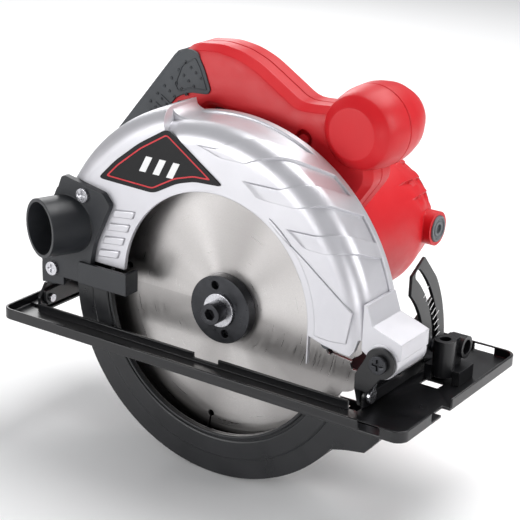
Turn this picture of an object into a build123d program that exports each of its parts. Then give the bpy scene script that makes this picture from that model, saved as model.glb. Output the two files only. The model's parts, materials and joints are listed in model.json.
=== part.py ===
from build123d import *
import os
from math import atan2, cos, pi, radians, sin, sqrt, tan

# Hand-held circular saw. Millimetres, +X is the cutting direction, +Z is up and +Y is the motor side.
# Every sub-part is drawn with y measured from the blade's mid-plane, and save() shifts it into the
# part's own frame, whose origin lies on the underside of the sole, below the motor.

BLADE_Y = -60.0            # blade mid-plane in the part's frame
SPINDLE_Z = 31.4           # spindle above the sole at full depth of cut

BLADE_R = 92.5             # 185 mm blade
BLADE_HALF = 0.9           # half the plate's thickness
BORE_R = 10.0              # 20 mm bore
TEETH = 24
TOOTH_PHASE = 5.5          # degrees

SOLE_X = (-139.9, 137.7)
SOLE_Y = (-37.0, 98.3)
SHEET = 1.6                # sole's sheet thickness
RIM_H = 6.6                # height of the sole's upturned rim
SLOT_X = (-125.0, 99.2)
SLOT_Y = (-18.0, 30.0)
FENCE_X = 117.0            # middle of the slot for the parallel guide
FENCE_W = 13.0
FENCE_TOP = 6.0                    # top of that slot

TILT_Y, TILT_Z = -8.5, 7.7         # bevel axis, along X
QUAD_X = (99.0, 101.0)
QUAD_R = (60.0, 84.3)
BOLT_R = 73.0                      # radius of the quadrant's slot
BOLT_ANGLE = 4.5                   # clamp bolt at a square cut, degrees

DEPTH_X, DEPTH_Z = 111.0, 32.5     # depth axis, along Y
LUG_R = 9.6
EAR_IN, EAR_OUT = 16.3, 18.3
ARC_R = 165.0                      # depth arc about the depth axis
ARC_Y = (22.2, 24.4)
DEPTH_SWING = 33.0

GUARD_R = 119.0                    # rear part of the upper guard, about the spindle
FRONT_GUARD = (-6.0, 33.0, 107.5)  # front part: centre x, centre z, radius
GUARD_STEP = 108.0                 # direction of the step between the two, degrees
GUARD_WALL = 2.5
GUARD_NEAR = -18.0
GUARD_BACK = 16.0
SHOULDER_R = 12.0
WINDOW = (2.2, 40.5, 63.0)         # centre x, centre z, radius
BOSS_R = 24.0                      # hub that the lower guard turns on

LOWER_R = 101.0
LOWER_RING_R = 74.0
LOWER_Y = (-12.0, 11.0)
TOE_Y = -2.4                       # far side of the toe where it reaches under the sole

MODULE = 1.25
GEAR_TEETH, PINION_TEETH = 42, 12
GEAR_GAP = MODULE * (GEAR_TEETH + PINION_TEETH) / 2
MOTOR_ANGLE = 56.0                 # direction from the spindle to the motor axis
MOTOR_X = GEAR_GAP * cos(radians(MOTOR_ANGLE))
MOTOR_Z = SPINDLE_Z + GEAR_GAP * sin(radians(MOTOR_ANGLE))
CASE_Y = (16.0, 36.0)
HOUSING_R = 43.5
HOUSING_Y = (36.0, 136.0)
BRUSH_Y = 125.0

HANDLE_MID = 43.0                  # parting plane of the two handle shells
HANDLE_HALF = 16.0
HANDLE_WALL = 3.0
POMMEL_X, POMMEL_Z = 64.0, 141.0
GRIP_TOP = (-25.0, 149.0)          # where the finger side of the grip begins
GRIP_DIR = (-0.64, -0.768)         # down the grip
GRIP_OUT = (0.768, -0.64)          # from the grip into the finger opening


# ---------------------------------------------------------------- helpers
def save(name, shape):
    """Shift a finished sub-part into the part's frame and write it."""
    export_step(Pos(0, BLADE_Y, 0) * shape, os.path.join("parts", name + ".step"))


def box(x, y, z):
    """A box from three (low, high) pairs."""
    size = [high - low for low, high in (x, y, z)]
    return Pos(sum(x) / 2, sum(y) / 2, sum(z) / 2) * Box(*size)


def rod_x(r, x, y, z):
    return Pos(sum(x) / 2, y, z) * Rot(0, 90, 0) * Cylinder(r, x[1] - x[0])


def rod_y(r, y, x=0.0, z=SPINDLE_Z):
    return Pos(x, sum(y) / 2, z) * Rot(90, 0, 0) * Cylinder(r, y[1] - y[0])


def rod_z(r, z, x, y):
    return Pos(x, y, sum(z) / 2) * Cylinder(r, z[1] - z[0])


def tube_y(outer, inner, y, x=0.0, z=SPINDLE_Z):
    return rod_y(outer, y, x, z) - rod_y(inner, y, x, z)


def plate_y(points, y, radius=0.0):
    """A plate in the XZ plane between two values of y."""
    plane = Plane(origin=(0, y[1], 0), x_dir=(1, 0, 0), z_dir=(0, -1, 0))
    line = FilletPolyline(*points, radius=radius, close=True) if radius else Polyline(*points, close=True)
    return extrude(make_face(plane * line), y[1] - y[0], dir=(0, -1, 0))


def plate_x(points, x, radius=0.0):
    """A plate in the YZ plane between two values of x."""
    plane = Plane(origin=(x[0], 0, 0), x_dir=(0, 1, 0), z_dir=(1, 0, 0))
    line = FilletPolyline(*points, radius=radius, close=True) if radius else Polyline(*points, close=True)
    return extrude(make_face(plane * line), x[1] - x[0], dir=(1, 0, 0))


def polar(r, angle, cx=0.0, cz=SPINDLE_Z):
    return cx + r * cos(radians(angle)), cz + r * sin(radians(angle))


def sweep_angles(start, end, step=20.0):
    count = max(1, round(abs(end - start) / step))
    return [start + (end - start) * k / count for k in range(count + 1)]


def wedge_y(start, end, y, cx=0.0, cz=SPINDLE_Z, reach=400.0):
    """The sector between two angles about an axis along Y."""
    return plate_y([(cx, cz)] + [polar(reach, a, cx, cz) for a in sweep_angles(start, end)], y)


def wedge_x(start, end, x, reach=200.0):
    """The sector between two angles about the bevel axis."""
    rim = [polar(reach, a, TILT_Y, TILT_Z) for a in sweep_angles(start, end)]
    return plate_x([(TILT_Y, TILT_Z)] + rim, x)


def arc_slot_y(r, width, start, end, y, cx=0.0, cz=SPINDLE_Z):
    """A round-ended slot along an arc about an axis along Y."""
    ring = tube_y(r + width / 2, r - width / 2, y, cx, cz) & wedge_y(start, end, y, cx, cz)
    ends = [polar(r, a, cx, cz) for a in (start, end)]
    return ring + [rod_y(width / 2, y, x, z) for x, z in ends]


def spun(points, axis_x=0.0, axis_z=SPINDLE_Z):
    """A solid of revolution about an axis along Y from (radius, y) points."""
    outline = Pos(axis_x, 0, axis_z) * Polyline(*[(r, y, 0) for r, y in points], close=True)
    return revolve(make_face(outline), Axis((axis_x, 0, axis_z), (0, 1, 0)))


def hex_hole(across, y, x=0.0, z=SPINDLE_Z):
    return plate_y([polar(across / sqrt(3), 60 * k, x, z) for k in range(6)], y)


def grip(s, d):
    """A point of the grip: s down its finger side, d out into the finger opening."""
    return (
        GRIP_TOP[0] + s * GRIP_DIR[0] + d * GRIP_OUT[0],
        GRIP_TOP[1] + s * GRIP_DIR[1] + d * GRIP_OUT[1],
    )


def joined(solids):
    """Several separate solids in one node."""
    return Compound(children=list(solids))


# ---------------------------------------------------------------- sole and its brackets
def rounded(x, y, z, radius):
    """A box with rounded upright corners."""
    face = Pos(sum(x) / 2, sum(y) / 2, z[0]) * RectangleRounded(x[1] - x[0], y[1] - y[0], radius)
    return extrude(face, z[1] - z[0])


def base_plate():
    inside_x = (SOLE_X[0] + SHEET, SOLE_X[1] - SHEET)
    inside_y = (SOLE_Y[0] + SHEET, SOLE_Y[1] - SHEET)
    plate = rounded(SOLE_X, SOLE_Y, (0, RIM_H), 7.0) - rounded(inside_x, inside_y, (SHEET, RIM_H + 1), 5.4)
    plate += box((SLOT_X[0], 94.0), (SLOT_Y[0] - SHEET, SLOT_Y[0]), (0, RIM_H))
    plate -= box(SLOT_X, SLOT_Y, (-1, RIM_H + 1))
    plate -= box((-9, 8), (SLOT_Y[0] - SHEET - 0.5, SLOT_Y[0] + 0.5), (RIM_H - 3.0, RIM_H + 1))
    plate -= box((108, 119.5), (35.1, 43.5), (-1, SHEET + 1))
    plate -= box((SOLE_X[1] - SHEET - 0.5, SOLE_X[1] + 1), (-5.3, 17.9), (SHEET, RIM_H + 1))
    plate -= box((SOLE_X[1] - 5, SOLE_X[1] + 1), (6.0, 16.0), (-1, RIM_H + 1))
    for y in SOLE_Y:
        plate -= box((FENCE_X - FENCE_W / 2, FENCE_X + FENCE_W / 2), (y - 4, y + 4), (SHEET, FENCE_TOP))
    return plate


def bevel_quadrant():
    blank = [(-14, SHEET), (76.2, SHEET), (76.2, 40), (44.9, 72.4), (31, 64.5), (31, 9), (-14, 9)]
    plate = plate_x(blank, QUAD_X)
    strip = rod_x(QUAD_R[1], QUAD_X, TILT_Y, TILT_Z) - rod_x(QUAD_R[0], QUAD_X, TILT_Y, TILT_Z)
    web = box(QUAD_X, (-14, 60), (SHEET, 9))
    boss = rod_x(6.0, QUAD_X, TILT_Y, TILT_Z)
    quadrant = (plate & strip) + web + boss
    slot = rod_x(BOLT_R + 3, QUAD_X, TILT_Y, TILT_Z) - rod_x(BOLT_R - 3, QUAD_X, TILT_Y, TILT_Z)
    slot &= wedge_x(BOLT_ANGLE - 1, BOLT_ANGLE + 46, QUAD_X)
    for angle in (BOLT_ANGLE - 1, BOLT_ANGLE + 46):
        y, z = polar(BOLT_R, angle, TILT_Y, TILT_Z)
        slot += rod_x(3, QUAD_X, y, z)
    foot = box((QUAD_X[1], QUAD_X[1] + 7), (61.5, 74.5), (SHEET, 2 * SHEET))
    return quadrant - slot - rod_x(2.5, QUAD_X, TILT_Y, TILT_Z) + foot


def rear_hinge_bracket():
    x = (-129.0, -127.0)
    ear = plate_x([(-16, SHEET), (28, SHEET), (28, 10), (8, 21), (-10, 17), (-16, 9)], x)
    foot = box((x[0] - 8, x[0]), (-14, 26), (SHEET, 2 * SHEET))
    return ear + foot - rod_x(2.5, x, TILT_Y, TILT_Z)


def tilt_pins():
    """Front and rear bevel pins, riveted into the sole's brackets."""
    front = rod_x(2.5, (95.2, 102.6), TILT_Y, TILT_Z) + rod_x(4.2, (101.0, 103.0), TILT_Y, TILT_Z)
    rear = rod_x(2.5, (-130.5, -123.0), TILT_Y, TILT_Z) + rod_x(4.2, (-131.0, -129.0), TILT_Y, TILT_Z)
    return joined([front, rear])


def guide_holder():
    """Clamp block of the parallel guide: a tube for the clamp screw over a channel for the guide bar."""
    y = 45.0
    tube = rod_z(6.4, (SHEET, 27.5), FENCE_X, y) - rod_z(3.4, (SHEET, 28), FENCE_X, y)
    foot = box((FENCE_X - 11, FENCE_X + 11), (y - 1.4, y + 16), (SHEET, 10))
    bridge = box((FENCE_X - 4, FENCE_X + 4), (y, y + 14), (10, 26))
    ring_y, ring_z = y + 14, 19.5
    ring = rod_x(6.6, (FENCE_X - 3, FENCE_X + 7), ring_y, ring_z)
    block = tube + foot + bridge + ring - rod_x(4.4, (FENCE_X - 12, FENCE_X + 12), ring_y, ring_z)
    block -= rod_z(3.4, (SHEET, 28), FENCE_X, y)
    channel = box((FENCE_X - FENCE_W / 2, FENCE_X + FENCE_W / 2), (y - 8, y + 17), (SHEET, FENCE_TOP))
    return block - channel


def base_rivets():
    """Rivets that hold the quadrant, the rear bracket and the guide block to the sole."""
    spots = [(104.5, 64.8), (104.5, 71.0), (-133.4, 2.0), (-133.4, 20.0)]
    return joined([rod_z(2.4, (2 * SHEET, 2 * SHEET + 1.4), x, y) for x, y in spots])


# ---------------------------------------------------------------- tilting brackets
def tilt_bracket():
    plate_x_range = (96.5, 98.5)
    arm = [polar(80.0, a, TILT_Y, TILT_Z) for a in sweep_angles(-2.5, 26, 7)]
    plate = plate_x([(-18, 14), (-14, 3.0), (10, 2.8)] + arm + [(20, 23), (-18, 23)], plate_x_range)
    ears = []
    for low, high, leg in ((-EAR_OUT, -EAR_IN, 14.0), (EAR_IN, EAR_OUT, 12.0)):
        disc = rod_y(8.8, (low, high), DEPTH_X, DEPTH_Z)
        outline = [(96.5, leg), (105, leg), (112, 23.8), (112, 41.2), (105, 38.5), (96.5, 23)]
        ears.append(disc + plate_y(outline, (low, high)))
    bracket = plate + ears
    bolt_y, bolt_z = polar(BOLT_R, BOLT_ANGLE, TILT_Y, TILT_Z)
    bracket -= rod_x(2.55, plate_x_range, TILT_Y, TILT_Z)
    bracket -= rod_x(2.5, plate_x_range, bolt_y, bolt_z)
    bracket += rod_y(2.5, (-EAR_IN, -12.6), 104.0, 19.0)
    return bracket - rod_y(3.0, (-20, 20), DEPTH_X, DEPTH_Z)


def depth_pivot_screw():
    """Shoulder screw through both ears, with its nut."""
    screw = rod_y(3.0, (-EAR_OUT, 23), DEPTH_X, DEPTH_Z) + rod_y(5.2, (-21, -EAR_OUT), DEPTH_X, DEPTH_Z)
    screw -= box((DEPTH_X - 3.2, DEPTH_X + 3.2), (-22, -19.6), (DEPTH_Z - 0.6, DEPTH_Z + 0.6))
    screw -= box((DEPTH_X - 0.6, DEPTH_X + 0.6), (-22, -19.6), (DEPTH_Z - 3.2, DEPTH_Z + 3.2))
    nut = hex_hole(10.0, (EAR_OUT, 22.0), DEPTH_X, DEPTH_Z) - rod_y(3.0, (17, 23), DEPTH_X, DEPTH_Z)
    return joined([screw, nut])


def bevel_clamp_bolt():
    y, z = polar(BOLT_R, BOLT_ANGLE, TILT_Y, TILT_Z)
    return rod_x(2.5, (86.0, 101.3), y, z) + rod_x(5.0, (101.3, 103.6), y, z)


def bevel_clamp_lever():
    y, z = polar(BOLT_R, BOLT_ANGLE, TILT_Y, TILT_Z)
    hub = rod_x(7.0, (88.0, 96.0), y, z)
    arm = plate_x([(y, z - 4), (y + 22, z - 3), (y + 27, z), (y + 22, z + 4), (y, z + 7)], (88.5, 92.5))
    return hub + arm - rod_x(2.55, (88, 96), y, z)


def depth_arc():
    """Slotted strip that the depth clamp slides on, with its foot and its rear bevel ear."""
    top = 180 - DEPTH_SWING - 5
    strip = tube_y(ARC_R + 8, ARC_R - 8, ARC_Y, DEPTH_X, DEPTH_Z)
    strip &= wedge_y(top, 189, ARC_Y, DEPTH_X, DEPTH_Z)
    strip -= arc_slot_y(ARC_R, 6.8, 180 - DEPTH_SWING - 1, 180, ARC_Y, DEPTH_X, DEPTH_Z)
    foot = box((-126, -46), ARC_Y, (3.6, 14.0))
    ear_outline = [(TILT_Y - 5, 7.5), (TILT_Y - 2.5, 3.6), (ARC_Y[1], 3.6), (ARC_Y[1], 14), (TILT_Y - 5, 13)]
    ear = plate_x(ear_outline, (-126.6, -124.6))
    return strip + foot + ear - rod_x(2.55, (-127, -124), TILT_Y, TILT_Z)


def pivot_spring():
    """Small wire spring beside the near ear of the tilt bracket."""
    wire = 0.8
    loop = Pos(104.0, -14.2, 19.0) * Rot(90, 0, 0) * Torus(3.4, wire)
    leg = Solid.make_cylinder(wire, 11.0, Plane(origin=(107.2, -14.2, 18.5), z_dir=(-0.25, 0.0, -0.97)))
    return loop + leg


# ---------------------------------------------------------------- upper guard and what it carries
def guard_solid(r, near, back, shoulder, x=0.0, z=SPINDLE_Z):
    """A disc about an axis along Y whose near edge is rounded."""
    corner = r - shoulder
    bend = near + shoulder
    bevel = shoulder * sin(pi / 4)
    edges = [
        Polyline((0, near, 0), (0, back, 0), (r, back, 0), (r, bend, 0)),
        ThreePointArc((r, bend, 0), (corner + bevel, bend - bevel, 0), (corner, near, 0)),
        Line((corner, near, 0), (0, near, 0)),
    ]
    return revolve(Pos(x, 0, z) * make_face(edges), Axis((x, 0, z), (0, 1, 0)))


def guard_shell():
    """Upper guard as a bare shell: a wide rear part and a lower front part, with a step between."""
    y = (GUARD_NEAR - 1, GUARD_BACK + 1)
    front_x, front_z, front_r = FRONT_GUARD
    inside = (GUARD_NEAR + GUARD_WALL, GUARD_BACK - GUARD_WALL, SHOULDER_R - GUARD_WALL)
    rear = guard_solid(GUARD_R, GUARD_NEAR, GUARD_BACK, SHOULDER_R) & wedge_y(GUARD_STEP, 300, y)
    front = guard_solid(front_r, GUARD_NEAR, GUARD_BACK, SHOULDER_R, front_x, front_z)
    hollow = guard_solid(GUARD_R - GUARD_WALL, *inside) & wedge_y(GUARD_STEP + 1.3, 300, y)
    return rear + front - hollow - guard_solid(front_r - GUARD_WALL, *inside, front_x, front_z)


def dust_axis():
    """Plane at the root of the dust spigot, its z axis pointing out of the mouth."""
    return Plane(origin=(-99.5, -20.0, 64.5), z_dir=(-0.38, -0.925, 0.0))


def upper_guard():
    lower_edge = [
        (-130, 44), (-60, 44), (-60, 20), (66, 20), (66, 36.5), (75, 33.8), (85.7, 31.9), (92, 31.2),
        (94.3, 34.2), (96, 41), (130, 41), (130, 160), (-130, 160),
    ]
    guard = guard_shell() & plate_y(lower_edge, (-20, 20))
    guard += rod_y(30, (13.5, GUARD_BACK))
    window_x, window_z, window_r = WINDOW
    cut = rod_y(window_r, (-19, -15), window_x, window_z)
    cut += box((window_x - window_r, window_x + window_r), (-19, -15), (0, window_z))
    guard -= cut
    guard += rod_y(BOSS_R, (6.5, 13.5))
    guard -= rod_y(16.0, (7.5, GUARD_BACK)) + rod_y(13.5, (6, 8))
    block = [(98, 36), (98, 62), (100, 62), (104, 51), (115, 47.5), (122, 45), (122, 36), (108, 30)]
    guard += plate_y(block, (-15.5, 14.5)) - rod_y(97.5, (-17, 17))
    guard -= rod_y(10.4, (-19, -15.9), DEPTH_X, DEPTH_Z)
    guard -= rod_y(10.4, (15.9, 19), DEPTH_X, DEPTH_Z)
    guard += rod_y(LUG_R, (-15.9, 15.9), DEPTH_X, DEPTH_Z)
    guard -= rod_y(3.06, (-17, 17), DEPTH_X, DEPTH_Z)
    guard -= arc_slot_y(90.0, 9.0, 70, 184, (13, 17))
    guard -= Solid.make_cylinder(16.4, 26, dust_axis().offset(-14))
    return guard


def badge_plate():
    points = [(-31, 134), (5.5, 109.3), (-12, 107.6), (-24, 105), (-40, 95.8), (-77.5, 96.6)]
    return plate_y(points, (GUARD_NEAR - 0.8, GUARD_NEAR), radius=1.8)


def dust_adapter():
    """Plastic duct bolted over the rear of the guard, with a slanted spigot and a chip shield below."""
    y = (-22.0, GUARD_NEAR)
    outline = [
        (-104, 94), (-74, 88.5), (-68.5, 82), (-80, 57), (-82.5, 46), (-84, 30), (-118, 30), (-122, 46),
    ]
    body = plate_y(outline, y, radius=3.0)
    skirt = tube_y(GUARD_R + 2.7, GUARD_R + 0.2, (-12.0, 12.0)) & wedge_y(154, 186, (-12, 12))
    flank = tube_y(GUARD_R + 2.7, GUARD_R - 14, (GUARD_NEAR - 2, -12.0)) & wedge_y(154, 184, (-20, -12))
    shield = box((-90, -55), (-24, -12.6), (30.5, 43.7)) - box((-88, -57), (-22, -12), (32.5, 45))
    root = dust_axis()
    spigot = Solid.make_cylinder(17.6, 24, root.offset(-4))
    adapter = body + spigot + flank - guard_solid(GUARD_R + 0.1, GUARD_NEAR, 20, SHOULDER_R) + skirt + shield
    adapter -= Solid.make_cylinder(15.6, 30, root.offset(-2))
    return adapter - Solid.make_cylinder(17.2, 16, root.offset(-18))


def adapter_screws():
    """Two pan-head screws that hold the dust adapter."""
    heads = []
    for x, z in ((-88.0, 84.8), (-111.5, 34.2)):
        head = rod_y(4.2, (-23.8, -22.0), x, z)
        head -= box((x - 2.6, x + 2.6), (-24, -23.0), (z - 0.5, z + 0.5))
        head -= box((x - 0.5, x + 0.5), (-24, -23.0), (z - 2.6, z + 2.6))
        heads.append(head)
    return joined(heads)


def guard_bumper():
    """Rubber stop for the lower guard, under the front leg of the upper guard."""
    return rod_y(3.2, (-15.5, -12.4), 75.5, 33.6)


def guard_return_spring():
    """Torsion spring around the hub, drawn as close-wound coils."""
    turns = [Pos(0, 13.05, SPINDLE_Z) * Rot(90, 0, 0) * Torus(26.2 + k, 0.45) for k in range(3)]
    return joined(turns)


# ---------------------------------------------------------------- gears and spindle
def involute_gear(teeth, y, addendum, dedendum, phase, x, z, backlash=0.24):
    """Spur gear with its tooth number zero pointing along the phase angle."""
    pitch_r = MODULE * teeth / 2
    base_r = pitch_r * cos(radians(20))
    tip_r = pitch_r + addendum
    root_r = pitch_r - dedendum

    def inv(a):
        return tan(a) - a

    half = (pi * MODULE / 2 - backlash) / (2 * pitch_r) + inv(radians(20))
    start = max(base_r, root_r)
    radii = [start + (tip_r - start) * k / 4 for k in range(5)]
    flank = [(r, half - inv(acos_safe(base_r / r))) for r in radii]
    points = []
    for k in range(teeth):
        centre = radians(phase) + 2 * pi * k / teeth
        left = [(root_r, -flank[0][1])] if root_r < base_r else []
        side = left + [(r, -a) for r, a in flank] + [(r, a) for r, a in reversed(flank)]
        side += [(root_r, flank[0][1])] if root_r < base_r else []
        points += [(x + r * cos(centre + a), z + r * sin(centre + a)) for r, a in side]
    return plate_y(points, y)


def acos_safe(value):
    return atan2(sqrt(max(0.0, 1 - value * value)), value)


def drive_gear():
    gear = involute_gear(GEAR_TEETH, (18.5, 27.5), 0.8, 1.55, MOTOR_ANGLE, 0, SPINDLE_Z)
    gear -= rod_y(7.0, (18, 28))
    for k in range(12):
        x, z = polar(20.6, 14 + 30 * k)
        gear -= rod_y(3.2, (24.5, 28), x, z)
    return gear


def pinion():
    teeth_phase = MOTOR_ANGLE + 180 + 180 / PINION_TEETH
    gear = involute_gear(PINION_TEETH, (18.0, 28.5), 1.15, 1.45, teeth_phase, MOTOR_X, MOTOR_Z)
    return gear - rod_y(3.0, (17, 31), MOTOR_X, MOTOR_Z)


def arbor():
    shaft = rod_y(BORE_R, (-1.4, 5.2)) + rod_y(6.0, (5.2, 18.5))
    shaft += rod_y(7.0, (18.5, 27.5)) + rod_y(4.0, (27.5, 35.0))
    return shaft - rod_y(4.0, (-1.4, 14.0))


def blade_outline():
    points = []
    pitch = 360 / TEETH
    for k in range(TEETH):
        a = TOOTH_PHASE + pitch * k
        tooth = ((BLADE_R, 0.0), (86.0, -0.9), (84.0, 1.2), (84.8, 3.4), (88.4, 5.2), (90.4, 6.6))
        points += [polar(r, a + da) for r, da in tooth]
    return points


def saw_blade():
    blade = plate_y(blade_outline(), (-BLADE_HALF, BLADE_HALF)) - rod_y(BORE_R, (-2, 2))
    for k in range(4):
        angle = -97 + 90 * k
        x, z = polar(70.3, angle)
        slot = Pos(0, 0, SPINDLE_Z) * Rot(0, -angle, 0) * box((71, 88), (-2, 2), (-0.55, 0.55))
        blade -= rod_y(2.1, (-2, 2), x, z) + slot
    return blade


def outer_flange():
    flange = rod_y(20.2, (-7.5, -BLADE_HALF)) - rod_y(BORE_R, (-1.4, 0)) - rod_y(4.1, (-8, 0))
    for angle in (105, 285):
        x, z = polar(14.5, angle)
        flange -= rod_y(2.5, (-8, -3), x, z)
    return flange


def inner_flange():
    return tube_y(20.0, BORE_R, (BLADE_HALF, 5.0))


def blade_washer():
    return tube_y(10.0, 4.1, (-9.3, -7.5))


def blade_bolt():
    bolt = rod_y(6.3, (-17.5, -9.3)) + rod_y(4.0, (-9.3, 13.0))
    return bolt - hex_hole(6.0, (-18, -12.5))


def arbor_front_bearing():
    return tube_y(16.0, 6.05, (7.5, 15.8))


def arbor_rear_bearing():
    return tube_y(11.0, 4.05, (29.6, 35.0))


def case_screw_spots():
    near_spindle = [polar(33.0, a) for a in (172, 222)]
    return near_spindle + [polar(34.0, a, MOTOR_X, MOTOR_Z) for a in (MOTOR_ANGLE + 62, MOTOR_ANGLE - 75)]


def gear_case():
    """Light-metal case behind the guard for the gear pair and the inner bearings."""
    def body(grow, y):
        low = rod_y(29.3 + grow, (y[0], 29.7)) + rod_y(28.2, y)
        high = rod_y(30.0 + grow, y, MOTOR_X, MOTOR_Z)
        side = [polar(28.2 + grow, MOTOR_ANGLE + s * 90, cx, cz) for s, cx, cz in
                ((1, 0, SPINDLE_Z), (-1, 0, SPINDLE_Z), (-1, MOTOR_X, MOTOR_Z), (1, MOTOR_X, MOTOR_Z))]
        return low + high + plate_y(side, y)

    case = body(0.0, CASE_Y)
    cavity = rod_y(27.9, (15.0, 28.3)) + rod_y(12.0, (15.0, 32.0), MOTOR_X, MOTOR_Z)
    for x, z in case_screw_spots():
        case += rod_y(4.6, (16.0, 24.0), x, z)
    case -= cavity
    case -= rod_y(11.0, (28, 35.0))
    case -= rod_y(13.0, (31.2, CASE_Y[1] + 1), MOTOR_X, MOTOR_Z)
    x, z = polar(20.6, 194)
    return case - rod_y(2.6, (28, 37), x, z)


def gear_case_screws():
    spots = case_screw_spots()
    return joined([rod_y(3.4, (24.0, 27.0), x, z) - hex_hole(3.0, (25.2, 28), x, z) for x, z in spots])


def spindle_lock_button():
    x, z = polar(20.6, 194)
    return rod_y(2.5, (29.4, 38.5), x, z) + rod_y(5.0, (38.5, 44.0), x, z)


# ---------------------------------------------------------------- motor
def motor_spun(points):
    return spun(points, MOTOR_X, MOTOR_Z)


def motor_housing():
    near, far = HOUSING_Y
    outer = [(0, near), (HOUSING_R, near), (HOUSING_R, 112), (37.5, far), (0, far)]
    shell = motor_spun(outer)
    brushes = (MOTOR_X - 47.5, MOTOR_X + 47.5)
    shell += rod_x(10.6, brushes, BRUSH_Y, MOTOR_Z)
    inner = [(0, 35), (HOUSING_R - 3, 35), (HOUSING_R - 3, 111), (34.5, 134), (0, 134)]
    shell -= motor_spun(inner)
    shell -= motor_spun([(0, 130), (31.0, 130), (31.0, 140), (0, 140)])
    for k in range(10):
        angle = 180 + 36 * k + 18
        vent = box((34, 42), (118, 133), (-2.0, 2.0))
        if abs(sin(radians(angle))) > 0.5:
            shell -= Pos(MOTOR_X, 0, MOTOR_Z) * Rot(0, -angle, 0) * vent
    return shell - rod_x(8.2, brushes, BRUSH_Y, MOTOR_Z)


def end_cap():
    """Tail cover with the rear bearing seat."""
    y = HOUSING_Y[1]
    cap = motor_spun([(0, y), (36.0, y), (33.0, y + 6), (24.0, y + 10), (0, y + 10)])
    cap -= motor_spun([
        (11.0, y - 1), (33.0, y - 1), (30.5, y + 4), (22.0, y + 7.5), (14.0, y + 7.5), (14.0, y + 4), (11.0, y + 4),
    ])
    cap -= rod_y(11.0, (y - 1, y + 7), MOTOR_X, MOTOR_Z)
    for k in range(8):
        x, z = polar(19.0, 22.5 + 45 * k, MOTOR_X, MOTOR_Z)
        cap -= rod_y(2.2, (y + 5, y + 11), x, z)
    return cap


def end_cap_screws():
    spots = [polar(30.2, a, MOTOR_X, MOTOR_Z) for a in (90, 270)]
    return joined([rod_y(3.0, (HOUSING_Y[1] + 8.6, HOUSING_Y[1] + 10.6), x, z) for x, z in spots])


def stator_core():
    ring = tube_y(HOUSING_R - 3, 31.0, (62, 104), MOTOR_X, MOTOR_Z)
    for side in (-1, 1):
        pole = rod_y(40.0, (62, 104), MOTOR_X, MOTOR_Z) & box(
            (MOTOR_X - 40, MOTOR_X + 40), (62, 104), (MOTOR_Z + (12 if side > 0 else -40), MOTOR_Z + (40 if side > 0 else -12))
        )
        ring += pole - rod_y(24.0, (61, 105), MOTOR_X, MOTOR_Z)
    return ring


def field_coils():
    coils = []
    for side in (-1, 1):
        z = (MOTOR_Z + side * 27 - 4, MOTOR_Z + side * 27 + 4)
        outer = box((MOTOR_X - 25, MOTOR_X + 25), (56, 110), z)
        coils.append(outer - box((MOTOR_X - 30, MOTOR_X + 30), (62, 104), z))
    return joined([solid for coil in coils for solid in coil.solids()])


def armature_shaft():
    shaft = rod_y(3.0, (18.0, 31.0), MOTOR_X, MOTOR_Z) + rod_y(5.0, (31.0, 136.5), MOTOR_X, MOTOR_Z)
    return shaft + rod_y(4.0, (136.5, 142.5), MOTOR_X, MOTOR_Z)


def armature_core():
    core = tube_y(23.4, 5.0, (62, 104), MOTOR_X, MOTOR_Z)
    for k in range(12):
        slot = box((18.0, 24.0), (61, 105), (-1.4, 1.4))
        core -= Pos(MOTOR_X, 0, MOTOR_Z) * Rot(0, 30 * k, 0) * slot
    return core


def armature_windings():
    ends = []
    for y in ((55.0, 62.0), (104.0, 111.0)):
        ends.append(tube_y(20.5, 6.0, y, MOTOR_X, MOTOR_Z))
    return joined(ends)


def commutator():
    body = tube_y(13.0, 5.0, (117, 134), MOTOR_X, MOTOR_Z)
    for k in range(24):
        groove = box((12.2, 14.0), (119, 134.5), (-0.3, 0.3))
        body -= Pos(MOTOR_X, 0, MOTOR_Z) * Rot(0, 15 * k, 0) * groove
    return body


def cooling_fan():
    hub = tube_y(12.0, 5.0, (42, 52), MOTOR_X, MOTOR_Z)
    disc = tube_y(37.0, 5.0, (42, 44), MOTOR_X, MOTOR_Z)
    fan = hub + disc
    for k in range(14):
        blade = box((11.0, 36.5), (43.5, 52), (-0.9, 0.9))
        fan += Pos(MOTOR_X, 0, MOTOR_Z) * Rot(0, 360 / 14 * k, 0) * blade
    return fan


def motor_front_bearing():
    return tube_y(13.0, 5.05, (31.2, 36.0), MOTOR_X, MOTOR_Z)


def motor_rear_bearing():
    return tube_y(11.0, 4.05, (137.0, 142.5), MOTOR_X, MOTOR_Z)


def brush_parts():
    """Holders, carbon brushes and slotted caps, one of each on either side."""
    holders, brushes, caps = [], [], []
    for side in (-1, 1):
        def ends(a, b):
            return tuple(sorted((MOTOR_X + side * a, MOTOR_X + side * b)))

        tube = rod_x(6.0, ends(15.0, 44.0), BRUSH_Y, MOTOR_Z) + rod_x(8.2, ends(42.0, 44.0), BRUSH_Y, MOTOR_Z)
        opening = box(ends(14.0, 45.0), (BRUSH_Y - 3.5, BRUSH_Y + 3.5), (MOTOR_Z - 2.6, MOTOR_Z + 2.6))
        holders.append(tube - opening)
        brushes.append(box(ends(13.3, 30.0), (BRUSH_Y - 3.5, BRUSH_Y + 3.5), (MOTOR_Z - 2.6, MOTOR_Z + 2.6)))
        cap = rod_x(8.2, ends(44.0, 48.6), BRUSH_Y, MOTOR_Z)
        slot = box(ends(47.4, 49.0), (BRUSH_Y - 5.5, BRUSH_Y + 5.5), (MOTOR_Z - 0.8, MOTOR_Z + 0.8))
        caps.append(cap - slot)
    return joined(holders), joined(brushes), joined(caps)


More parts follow.
